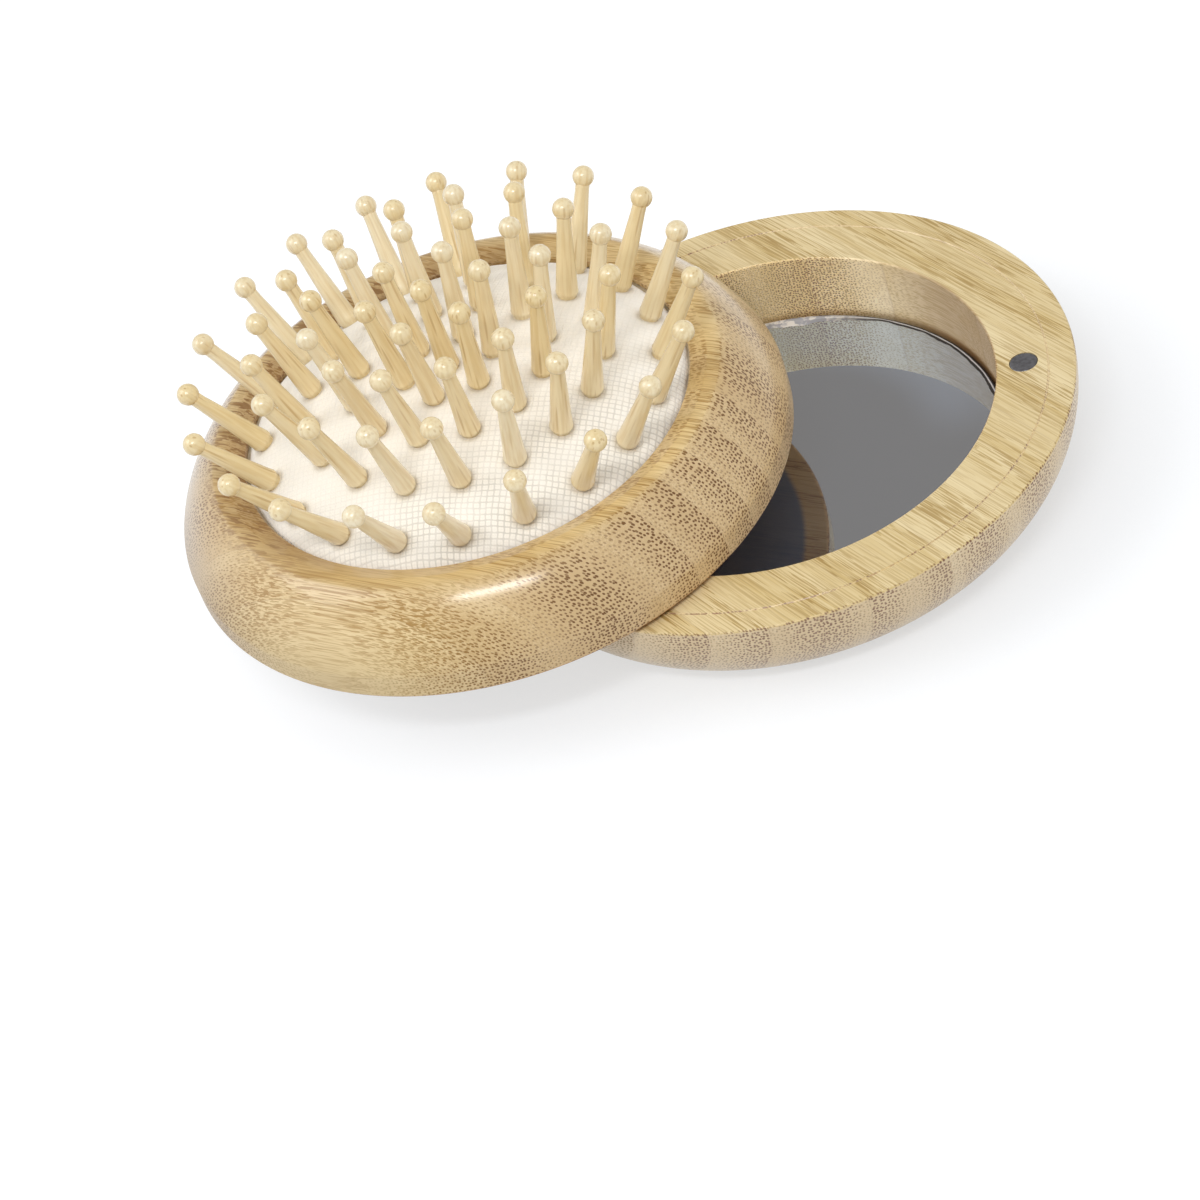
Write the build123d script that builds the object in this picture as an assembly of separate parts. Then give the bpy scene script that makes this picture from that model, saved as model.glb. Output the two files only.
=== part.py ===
from build123d import *
from math import cos, pi, radians, sin, sqrt
import os

# Folding pocket hairbrush: a round lid with a mirror sunk in it, and a round pin brush that
# swivels over the lid on a hidden pin near both rims. Millimetres, +Z up. The origin is the
# centre of the lid's flat base. The brush stands part open, its centre towards -X.

# ---------------------------------------------------------------- driving dimensions
# Both halves
disc_radius = 42.5
edge_break = 0.3
overshoot = 1.0

# How the brush stands against the lid
pivot_inset = 7.0
open_angle = 65.0
halves_gap = 0.6

# Lid: a shallow round box turned from laminated bamboo
lid_height = 13.6
foot_inset = 7.5
side_steps = 6
mirror_well_radius = 31.75
mirror_face_depth = 10.15
scribe_inset = 3.7
scribe_half_width = 0.15
scribe_depth = 0.2

# Mirror and the pad that holds it
mirror_gap = 0.4
mirror_thickness = 1.5
mirror_edge_bevel = 0.25
adhesive_thickness = 0.2
adhesive_side = 40.0

# Magnets: one disc in the face of each half, meeting when the brush is closed
magnet_radius = 2.0
magnet_thickness = 2.0
magnet_inset = 7.0
magnet_angle = -4.85
glue_gap = 0.03

# Brush body: the turned ring and floor that hold the cushion
body_height = 12.7
shoulder_start_height = 3.4
shoulder_width = 7.4
shoulder_power = 1.5
shoulder_steps = 7
crest_width = 1.5
mouth_radius = 30.95
mouth_drop = 0.9
body_floor = 3.5
chamber_radius = 29.5
groove_depth = 1.45
groove_height = 2.4
lip_height = 0.8

# Cushion: a rubber membrane with a woven cover, domed over an air chamber
cushion_clearance = 0.3
cushion_edge_drop = 0.25
dome_rise = 7.6
dome_power = 2.6
dome_steps = 5
cushion_side_count = 36
cover_thickness = 0.5
membrane_thickness = 1.6
bead_clearance = 0.15

# Pins: turned bamboo, pushed up through the membrane and leaning outwards
pin_length = 13.0
pin_base_radius = 1.6
pin_neck_radius = 0.97
pin_ball_radius = 1.5
pin_tip_flat_radius = 0.75
pin_root = 3.2
pin_side_count = 8

# The rings that the pins stand in, from the mouth inwards, with one more pin in the middle
outer_row_inset = 3.05
inner_row_radius = 6.2
row_names = ["pins_outer_row", "pins_second_row", "pins_third_row", "pins_inner_row"]
row_pin_counts = [20, 17, 12, 6]
row_lean_angles = [33.0, 18.0, 12.5, 8.0]
row_start_angles = [-1.5, 17.0, 10.0, 10.0]

# Pivot: a steel pin glued in the lid, running in a bush in the brush body
pin_radius = 1.5
pivot_depth_in_lid = 9.0
running_clearance = 0.05
bush_radius = 2.75
bush_length = 6.8
ring_seat_radius = 2.1
ring_thickness = 0.75
ring_slot_width = 1.5
pin_groove_depth = 0.4
pin_tip_length = 1.2
pin_tip_break = 0.4
pin_tip_clearance = 0.4
washer_radius = 3.2

# ---------------------------------------------------------------- places worked out from them
pivot_radius = disc_radius - pivot_inset
lid_foot_radius = disc_radius - foot_inset
scribe_radius = disc_radius - scribe_inset
magnet_ring_radius = disc_radius - magnet_inset
shoulder_top_radius = disc_radius - shoulder_width
crest_radius = shoulder_top_radius - crest_width
mirror_back = lid_height - mirror_face_depth - mirror_thickness
well_floor = mirror_back - adhesive_thickness
body_base = lid_height + halves_gap
offset = 2 * pivot_radius * sin(radians(open_angle / 2))
pivot_x = -offset / 2
pivot_y = pivot_radius * cos(radians(open_angle / 2))
mouth_height = body_height - mouth_drop
cover_radius = mouth_radius - cushion_clearance
dome_base = mouth_height - cushion_edge_drop
outer_row_radius = cover_radius - outer_row_inset
row_pitch = (outer_row_radius - inner_row_radius) / (len(row_names) - 1)
groove_radius = mouth_radius + groove_depth
groove_top = mouth_height - lip_height
groove_floor = groove_top - groove_height

brush_place = Pos(-offset, 0, body_base)
pivot_in_lid = Pos(pivot_x, pivot_y, lid_height)
pivot_in_body = Pos(pivot_x, pivot_y, body_base)


def turned(*points):
    """A solid of revolution about Z from the (radius, height) points of its closed half section."""
    return revolve(Plane.XZ * make_face(Polyline(*points, close=True)), axis=Axis.Z)


def many_sided(outline, sides):
    """A small or soft turned piece with flat sides, from its (radius, height) outline, axis to axis."""
    bearings = [2 * pi * side / sides for side in range(sides)]
    rings = []
    for radius, height in outline:
        rings.append([Vector(radius * cos(b), radius * sin(b), height) for b in bearings])
    faces = []
    for lower, upper in zip(rings, rings[1:]):
        for side in range(sides):
            after = (side + 1) % sides
            corners = [lower[side], lower[after], upper[after], upper[side]]
            if lower[side] == lower[after]:
                corners = corners[1:]
            if upper[side] == upper[after]:
                corners = corners[:3]
            faces.append(Face(Wire.make_polygon(corners)))
    return Solid(Shell(faces))


def disc(radius, bottom, top):
    """A plain round disc or hole between two heights."""
    return Pos(0, 0, (bottom + top) / 2) * Cylinder(radius, top - bottom)


def polar(radius, angle):
    """The place at a distance and a bearing in degrees from a half's own centre."""
    return Pos(radius * cos(radians(angle)), radius * sin(radians(angle)), 0)


# ---------------------------------------------------------------- lid
lid_magnet_place = polar(magnet_ring_radius, magnet_angle) * Pos(0, 0, lid_height)


def make_lid_shell():
    """The shell: a side rounding in to the foot, a flat rim with a turned line, the mirror's well."""
    side_height = lid_height - edge_break
    side_radius = (side_height**2 + foot_inset**2) / (2 * foot_inset)
    side = RadiusArc((lid_foot_radius, 0), (disc_radius, side_height), -side_radius)
    shell = turned(
        *side.positions([step / side_steps for step in range(side_steps + 1)]),
        (disc_radius - edge_break, lid_height),
        (scribe_radius + scribe_half_width, lid_height),
        (scribe_radius, lid_height - scribe_depth),
        (scribe_radius - scribe_half_width, lid_height),
        (mirror_well_radius, lid_height),
        (mirror_well_radius, well_floor),
        (0, well_floor),
        (0, 0),
    )
    shell -= lid_magnet_place * disc(magnet_radius + glue_gap, -magnet_thickness, overshoot)
    shell -= pivot_in_lid * disc(pin_radius + glue_gap, -pivot_depth_in_lid, overshoot)
    return shell


def make_mirror_glass():
    """A round mirror with a ground bevel at its upper edge."""
    radius = mirror_well_radius - mirror_gap
    face = mirror_back + mirror_thickness
    return turned(
        (0, mirror_back),
        (radius, mirror_back),
        (radius, face - mirror_edge_bevel),
        (radius - mirror_edge_bevel, face),
        (0, face),
    )


def make_mirror_adhesive():
    """The double-sided pad between the mirror and the floor of the well."""
    height = (well_floor + mirror_back) / 2
    return Pos(0, 0, height) * Box(adhesive_side, adhesive_side, adhesive_thickness)


def make_magnet():
    """A disc magnet with its face at height 0."""
    return disc(magnet_radius, -magnet_thickness, 0)


# ---------------------------------------------------------------- pivot
ring_floor = bush_length - ring_thickness - running_clearance
groove_low = ring_floor - running_clearance
groove_high = bush_length
pin_top = groove_high + pin_tip_length
neck_radius = pin_radius - pin_groove_depth


def make_pivot_pin():
    """The steel pin: its lower end in the lid, a groove for the ring near its top."""
    low = -pivot_depth_in_lid - halves_gap
    return pivot_in_body * turned(
        (0, low),
        (pin_radius, low),
        (pin_radius, groove_low),
        (neck_radius, groove_low),
        (neck_radius, groove_high),
        (pin_radius, groove_high),
        (pin_radius, pin_top - pin_tip_break),
        (pin_radius - pin_tip_break, pin_top),
        (0, pin_top),
    )


def make_pivot_bush():
    """The nylon bush pressed into the brush body, with the ring's seat at its inner end."""
    bush = disc(bush_radius, 0, bush_length)
    bush -= disc(pin_radius + running_clearance, -overshoot, bush_length + overshoot)
    bush -= disc(ring_seat_radius, ring_floor, bush_length + overshoot)
    return pivot_in_body * bush


def make_retaining_ring():
    """The split ring that keeps the pin in the bush."""
    ring = disc(ring_seat_radius - running_clearance, ring_floor, ring_floor + ring_thickness)
    ring -= disc(neck_radius + running_clearance, 0, pin_top)
    slot = Pos(ring_seat_radius, 0, ring_floor) * Box(2 * ring_seat_radius, ring_slot_width, bush_length)
    return pivot_in_body * (ring - slot)


def make_friction_washer():
    """The washer that keeps the halves apart and holds the brush where it is put."""
    washer = disc(washer_radius, 0, halves_gap)
    washer -= disc(pin_radius + running_clearance, -overshoot, halves_gap + overshoot)
    return pivot_in_lid * washer


# ---------------------------------------------------------------- brush body
brush_magnet_place = brush_place * polar(magnet_ring_radius, magnet_angle - open_angle)


def shoulder_point(step):
    """One point of the soft shoulder: a superellipse from the upright side to the flat of the crest."""
    turn = pi / 2 * step / shoulder_steps
    radius = shoulder_top_radius + shoulder_width * cos(turn) ** shoulder_power
    height = shoulder_start_height + (body_height - shoulder_start_height) * sin(turn) ** shoulder_power
    return radius, height


def make_brush_body():
    """The turned body: soft shoulder, rim falling to the mouth, air chamber and bead groove."""
    body = brush_place * turned(
        (disc_radius, edge_break),
        *[shoulder_point(step) for step in range(shoulder_steps + 1)],
        (crest_radius, body_height),
        (mouth_radius, mouth_height),
        (mouth_radius, groove_top),
        (groove_radius, groove_top),
        (groove_radius, groove_floor),
        (chamber_radius, groove_floor),
        (chamber_radius, body_floor),
        (0, body_floor),
        (0, 0),
        (disc_radius - edge_break, 0),
    )
    body -= pivot_in_body * disc(bush_radius + glue_gap, -overshoot, bush_length)
    body -= pivot_in_body * disc(pin_radius + running_clearance, 0, pin_top + pin_tip_clearance)
    body -= brush_magnet_place * disc(magnet_radius + glue_gap, -overshoot, magnet_thickness)
    return body


# ---------------------------------------------------------------- cushion
def dome_height(radius):
    """Height of the cover's outer face above the body's base: flat in the middle, steep at the edge."""
    return dome_base + dome_rise * (1 - (radius / cover_radius) ** dome_power)


def dome_section(edge_radius, drop):
    """The domed line from the edge to the axis, lowered by the layers above it."""
    stations = [edge_radius * cos(pi / 2 * step / dome_steps) for step in range(dome_steps)] + [0]
    return [(radius, dome_height(radius) - drop) for radius in stations]


neck_of_cushion = cover_radius - cover_thickness
bead_radius = groove_radius - bead_clearance
bead_top = groove_top - bead_clearance
bead_bottom = groove_floor + bead_clearance


def make_cushion_cover():
    """The woven cover, stretched over the dome and turned down behind the lip."""
    outer = dome_section(cover_radius, 0)
    inner = dome_section(neck_of_cushion, cover_thickness)
    skirt = [(neck_of_cushion, bead_top), (cover_radius, bead_top)]
    return brush_place * many_sided([*reversed(inner), *skirt, *outer], cushion_side_count)


def make_cushion_membrane():
    """The rubber membrane: a dome with a thick bead that snaps into the body's groove."""
    outer = dome_section(neck_of_cushion, cover_thickness)
    hollow_radius = chamber_radius - bead_clearance
    inner = dome_section(hollow_radius, cover_thickness + membrane_thickness)
    bead = [
        (hollow_radius, bead_bottom),
        (bead_radius, bead_bottom),
        (bead_radius, bead_top),
        (neck_of_cushion, bead_top),
    ]
    return brush_place * many_sided([*reversed(inner), *bead, *outer], cushion_side_count)


# ---------------------------------------------------------------- pins
def make_pin():
    """One bamboo pin along Z, with height 0 at the cover: a taper, a neck and a ball tip."""
    taper = (pin_base_radius - pin_neck_radius) / pin_length
    neck_height = pin_length - sqrt(pin_ball_radius**2 - pin_neck_radius**2)
    ball_top = pin_length + sqrt(pin_ball_radius**2 - pin_tip_flat_radius**2)
    outline = [
        (0, -pin_root),
        (pin_base_radius + taper * pin_root, -pin_root),
        (pin_neck_radius, neck_height),
        (pin_ball_radius, pin_length),
        (pin_tip_flat_radius, ball_top),
        (0, ball_top),
    ]
    return many_sided(outline, pin_side_count)


def make_pin_row(count, distance, lean, first_angle):
    """A ring of like pins, evenly spaced, each leaning outwards from its seat on the dome."""
    pin = make_pin()
    seat = Pos(distance, 0, dome_height(distance)) * Rot(0, lean, 0)
    turns = [first_angle + 360 * number / count for number in range(count)]
    return Compound([brush_place * Rot(0, 0, turn) * seat * pin for turn in turns])


# ---------------------------------------------------------------- the parts
parts = {
    "lid_shell": make_lid_shell(),
    "mirror_glass": make_mirror_glass(),
    "mirror_adhesive": make_mirror_adhesive(),
    "lid_magnet": lid_magnet_place * make_magnet(),
    "pivot_pin": make_pivot_pin(),
    "friction_washer": make_friction_washer(),
    "brush_body": make_brush_body(),
    "brush_magnet": brush_magnet_place * Rot(180, 0, 0) * make_magnet(),
    "pivot_bush": make_pivot_bush(),
    "retaining_ring": make_retaining_ring(),
    "cushion_membrane": make_cushion_membrane(),
    "cushion_cover": make_cushion_cover(),
    "pin_centre": make_pin_row(1, 0, 0, 0),
}
for row, name in enumerate(row_names):
    distance = outer_row_radius - row * row_pitch
    parts[name] = make_pin_row(row_pin_counts[row], distance, row_lean_angles[row], row_start_angles[row])

os.makedirs("parts", exist_ok=True)
for name, part in parts.items():
    export_step(part, f"parts/{name}.step")
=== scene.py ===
import bpy
import numpy as np
from mathutils import Matrix, Vector


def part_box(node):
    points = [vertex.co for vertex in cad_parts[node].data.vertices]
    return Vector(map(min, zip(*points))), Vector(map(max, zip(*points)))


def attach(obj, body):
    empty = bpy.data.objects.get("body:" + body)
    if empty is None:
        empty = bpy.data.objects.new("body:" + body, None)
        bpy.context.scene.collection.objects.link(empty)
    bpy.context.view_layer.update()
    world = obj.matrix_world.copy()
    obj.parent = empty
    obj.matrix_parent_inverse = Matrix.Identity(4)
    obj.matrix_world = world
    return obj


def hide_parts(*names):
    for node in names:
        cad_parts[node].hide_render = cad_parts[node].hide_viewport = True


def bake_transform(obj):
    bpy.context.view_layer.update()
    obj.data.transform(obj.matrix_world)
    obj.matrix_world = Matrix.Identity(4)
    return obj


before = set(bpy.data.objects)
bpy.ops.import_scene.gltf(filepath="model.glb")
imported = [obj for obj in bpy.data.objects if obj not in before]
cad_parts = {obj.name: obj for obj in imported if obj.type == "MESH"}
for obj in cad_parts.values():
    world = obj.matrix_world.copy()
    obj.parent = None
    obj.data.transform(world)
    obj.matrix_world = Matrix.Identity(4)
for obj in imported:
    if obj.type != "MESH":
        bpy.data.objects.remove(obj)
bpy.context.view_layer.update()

# ---------------------------------------- lid shell
# The lower half: a shallow round box turned from a block of upright bamboo strips glued side by
# side, varnished on top and paler round its side with painted light. A well sinks the mirror, a
# fine line is turned round the rim, and two holes are drilled in the rim for the magnet and the
# pivot.
lid_radius = 42.5
lid_height = 13.6
lid_foot_radius = 35.0
lid_edge_round = 0.35
lid_foot_round = 0.8
well_radius = 31.75
well_floor = 1.75
well_edge_round = 0.3
well_floor_round = 0.25
line_radius = 38.8
line_half_width = 0.15
line_depth = 0.14
line_edge_round = 0.05
line_floor_round = 0.04
magnet_hole_radius = 1.94
lid_magnet_hole_floor = 11.6
pivot_hole_radius = 1.53
lid_pivot_hole_floor = 4.6
lid_drill_top = 15
disc_sides = 288
strip_width = 5.7
pore_scale = 2.1
lid_grain_angle = -55.0
# the bearing towards which the well wall has its painted shade
lid_well_shade_bearing = 15
lid_colours = {
    "Pale": (0.80, 0.67, 0.405, 1),
    "Deep": (0.61, 0.455, 0.195, 1),
    "Streak": (0.40, 0.265, 0.085, 1),
    "Pore": (0.20, 0.095, 0.045, 1),
}
# painted light on the side and in the well, and painted shade low in the well
side_light_colour = (0.74, 0.61, 0.56, 1)
well_light_tint = (1.36, 1.38, 1.56, 1)
well_shade_colour = (0.25, 0.12, 0.04, 1)
line_pale = (0.86, 0.74, 0.56, 1)
line_burnt = (0.28, 0.13, 0.07, 1)


def rounded_outline(corners, steps=6):
    """An outline through (radius, height, rounding) corners, in millimetres.

    A corner with a rounding becomes an arc tangent to both its runs: its centre lies on the line
    that halves the corner, at rounding / sin(half angle), and a guard point just before and after
    the arc keeps the shading of the flat runs flat.
    """
    guard = 0.06
    points = [np.array(corners[0][:2], float)]
    for before, here, after in zip(corners, corners[1:], corners[2:]):
        p = np.array(here[:2], float)
        if here[2] == 0:
            points.append(p)
            continue
        back = np.array(before[:2], float) - p
        on = np.array(after[:2], float) - p
        back /= np.linalg.norm(back)
        on /= np.linalg.norm(on)
        half = np.arccos(np.clip(back @ on, -1, 1)) / 2
        reach = here[2] / np.tan(half)
        halving = (back + on) / np.linalg.norm(back + on)
        centre = p + halving * here[2] / np.sin(half)
        first = p + back * reach - centre
        last = p + on * reach - centre
        turn = np.arccos(np.clip(first @ last / here[2] ** 2, -1, 1))
        share = np.linspace(0, 1, steps + 1)[:, None]
        arc = (first * np.sin((1 - share) * turn) + last * np.sin(share * turn)) / np.sin(turn)
        points.append(p + back * (reach + guard))
        points.extend(centre + arc)
        points.append(p + on * (reach + guard))
    points.append(np.array(corners[-1][:2], float))
    return np.array(points)


def mesh_piece(name, points, blocks, sharp=35.0):
    """A smooth-shaded piece from points in metres and blocks of faces, creased past an angle."""
    mesh = bpy.data.meshes.new(name)
    mesh.from_pydata(points.tolist(), [], [face for block in blocks for face in block.tolist()])
    mesh.polygons.foreach_set("use_smooth", np.ones(len(mesh.polygons), bool))
    mesh.set_sharp_from_angle(angle=np.radians(sharp))
    mesh.update()
    piece = bpy.data.objects.new(name, mesh)
    bpy.context.scene.collection.objects.link(piece)
    return piece


def grid_faces(rows, columns):
    """The quads between rows of points whose columns close on themselves."""
    row, column = np.meshgrid(np.arange(rows - 1), np.arange(columns), indexing="ij")
    after = (column + 1) % columns
    low, high = row * columns, (row + 1) * columns
    return np.stack([low + column, low + after, high + after, high + column], axis=-1).reshape(-1, 4)


def fan(tip, base, sides):
    """The triangles from a tip point to the closed ring of points that starts at number base."""
    side = np.arange(sides)
    return np.stack([np.full(sides, tip), base + side, base + (side + 1) % sides], axis=-1)


def closed_skin(rings, sides):
    """Blocks of faces over rings of points, with a single point at each end numbered after them."""
    start = fan(rings * sides, 0, sides)[:, [0, 2, 1]]
    return [grid_faces(rings, sides), start, fan(rings * sides + 1, (rings - 1) * sides, sides)]


def turned(name, outline, centre, sides=disc_sides):
    """A surface of revolution about an upright line through centre, in millimetres.

    Point (k, a) is centre + (r_k cos a, r_k sin a, h_k) for outline point (r_k, h_k) and angle a.
    The outline runs from axis to axis, so its two ends are single points.
    """
    angle = np.linspace(0, 2 * np.pi, sides, endpoint=False)
    ring = outline[1:-1]
    around = np.stack([np.cos(angle), np.sin(angle), np.zeros(sides)], axis=-1)
    points = ring[:, None, :1] * around[None] + ring[:, None, 1:] * np.array([0, 0, 1.0])
    ends = np.array([[0, 0, outline[0, 1]], [0, 0, outline[-1, 1]]])
    points = (np.concatenate([points.reshape(-1, 3), ends]) + np.array(centre)) * 0.001
    return mesh_piece(name, points, closed_skin(len(ring), sides))


def drill(piece, place, radius, bottom, top):
    """Cuts a round upright hole (mm) through the piece between two heights, and keeps the result."""
    bit = np.array([(0, bottom), (radius, bottom), (radius, top), (0, top)])
    hole = turned("cutter", bit, (*place, 0), sides=48)
    cut = piece.modifiers.new("hole", "BOOLEAN")
    cut.object = hole
    cut.solver = "EXACT"
    bpy.context.view_layer.update()
    shaped = piece.evaluated_get(bpy.context.evaluated_depsgraph_get())
    drilled = bpy.data.meshes.new_from_object(shaped)
    piece.modifiers.clear()
    piece.data = drilled
    drilled.set_sharp_from_angle(angle=np.radians(35.0))
    bpy.data.objects.remove(hole)


def centre_of(part):
    """The middle of a CAD node's box, in millimetres."""
    low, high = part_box(part)
    return np.array(low + high) * 500


# the side is an arc that stands upright at the rim and comes in to the foot
side_height = lid_height - lid_edge_round
side_bend = lid_radius - lid_foot_radius
side_radius = (side_height**2 + side_bend**2) / 2 / side_bend
side_arc = [
    (lid_radius - side_radius * (1 - np.cos(turn)), side_height - side_radius * np.sin(turn), 0)
    for turn in np.linspace(np.arcsin(side_height / side_radius), 0, 22)[2:-1]
]
lid_outline = rounded_outline([
    (0, 0, 0),
    (lid_foot_radius, 0, lid_foot_round),
    *side_arc,
    (lid_radius, lid_height, lid_edge_round),
    (line_radius + line_half_width, lid_height, line_edge_round),
    (line_radius, lid_height - line_depth, line_floor_round),
    (line_radius - line_half_width, lid_height, line_edge_round),
    (well_radius, lid_height, well_edge_round),
    (well_radius, well_floor, well_floor_round),
    (0, well_floor, 0),
])
lid = turned("lid_turned", lid_outline, (0, 0, 0))
lid_magnet_at = centre_of("lid_magnet")
pivot_at = centre_of("pivot_pin")
drill(lid, lid_magnet_at[:2], magnet_hole_radius, lid_magnet_hole_floor, lid_drill_top)
drill(lid, pivot_at[:2], pivot_hole_radius, lid_pivot_hole_floor, lid_drill_top)


def feed(made, values):
    """Links every value that is a socket to a node's input of that name or number, and sets the rest."""
    for key, value in values.items():
        if isinstance(value, bpy.types.NodeSocket):
            made.id_data.links.new(value, made.inputs[key])
        else:
            made.inputs[key].default_value = value


def node(tree, kind, values=None, **settings):
    """A new node of a tree: settings are its own properties, values its sockets by name or number."""
    made = tree.nodes.new("ShaderNode" + kind)
    for key, value in settings.items():
        setattr(made, key, value)
    feed(made, values or {})
    return made


def tree_of(*values):
    """The tree that the first socket among some values stands in."""
    return next(value.id_data for value in values if isinstance(value, bpy.types.NodeSocket))


def calc(operation, *values):
    """One step of arithmetic on numbers or sockets."""
    return node(tree_of(*values), "Math", dict(enumerate(values)), operation=operation).outputs[0]


def times(*values):
    """The product of two or more numbers or sockets."""
    product = values[0]
    for value in values[1:]:
        product = calc("MULTIPLY", product, value)
    return product


def plus(*values):
    """The sum of two or more numbers or sockets."""
    total = values[0]
    for value in values[1:]:
        total = calc("ADD", total, value)
    return total


def scaled(value, by, start):
    """A start with a value times a factor added to it."""
    return calc("MULTIPLY_ADD", value, by, start)


def above(value, limit):
    """One where a value is above a limit, and zero elsewhere."""
    return calc("GREATER_THAN", value, limit)


def below(value, limit):
    """One where a value is below a limit, and zero elsewhere."""
    return calc("LESS_THAN", value, limit)


def step(value, low, high, at_low=0.0, at_high=1.0):
    """A smooth step of a value between low and high, from one level to another."""
    values = {"Value": value, "From Min": low, "From Max": high, "To Min": at_low, "To Max": at_high}
    return node(tree_of(value), "MapRange", values, interpolation_type="SMOOTHSTEP").outputs[0]


def mix(share, a, b, blend="MIX"):
    """Colour b laid over colour a by a share."""
    made = node(tree_of(share, a, b), "Mix", {0: share, 6: a, 7: b}, data_type="RGBA", blend_type=blend)
    return made.outputs[2]


def vector(operation, *values):
    """One step of arithmetic on vectors. A dot product and a length come out as a number."""
    made = node(tree_of(*values), "VectorMath", dict(enumerate(values)), operation=operation)
    return made.outputs["Value" if operation in ("DOT_PRODUCT", "LENGTH") else "Vector"]


def parts(kind, value):
    """The three parts of a vector (XYZ) or of a colour (Color)."""
    return list(node(tree_of(value), "Separate" + kind, {0: value}).outputs)


def level(x, y):
    """A vector without height."""
    return node(tree_of(x, y), "CombineXYZ", {0: x, 1: y}).outputs[0]


def noise(place, scale, detail, rough=0.5):
    """A cloudy noise at a place. Its scale is one number, or three that stretch it."""
    if isinstance(scale, tuple):
        place = vector("MULTIPLY", place, scale)
        scale = 1.0
    values = {"Vector": place, "Scale": scale, "Detail": detail, "Roughness": rough}
    return node(tree_of(place), "TexNoise", values).outputs[0]


def bump(height, strength, distance):
    """A normal that leans with a height, over a distance in metres."""
    values = {"Height": height, "Strength": strength, "Distance": distance}
    return node(tree_of(height), "Bump", values).outputs[0]


def new_group(name, inputs, outputs):
    """A shader node group with named inputs (name, kind, value) and outputs (name, kind)."""
    group = bpy.data.node_groups.new(name, "ShaderNodeTree")
    for label, kind, value in inputs:
        socket = group.interface.new_socket(label, in_out="INPUT", socket_type="NodeSocket" + kind)
        if value is not None:
            socket.default_value = value
    for label, kind in outputs:
        group.interface.new_socket(label, in_out="OUTPUT", socket_type="NodeSocket" + kind)
    return group, group.nodes.new("NodeGroupInput").outputs, group.nodes.new("NodeGroupOutput")


def place_group(group, values):
    """A group placed in the tree that its place comes from, with its own values."""
    made = node(tree_of(values["Place"]), "Group", node_tree=group)
    feed(made, values)
    return made.outputs


def new_material(name):
    """An empty material with its tree and its Principled shader."""
    material = bpy.data.materials.new(name)
    material.use_nodes = True
    tree = material.node_tree
    return material, tree, tree.nodes["Principled BSDF"]


def finish_with(piece, material):
    """Gives the piece its one material."""
    piece.data.materials.clear()
    piece.data.materials.append(material)


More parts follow.
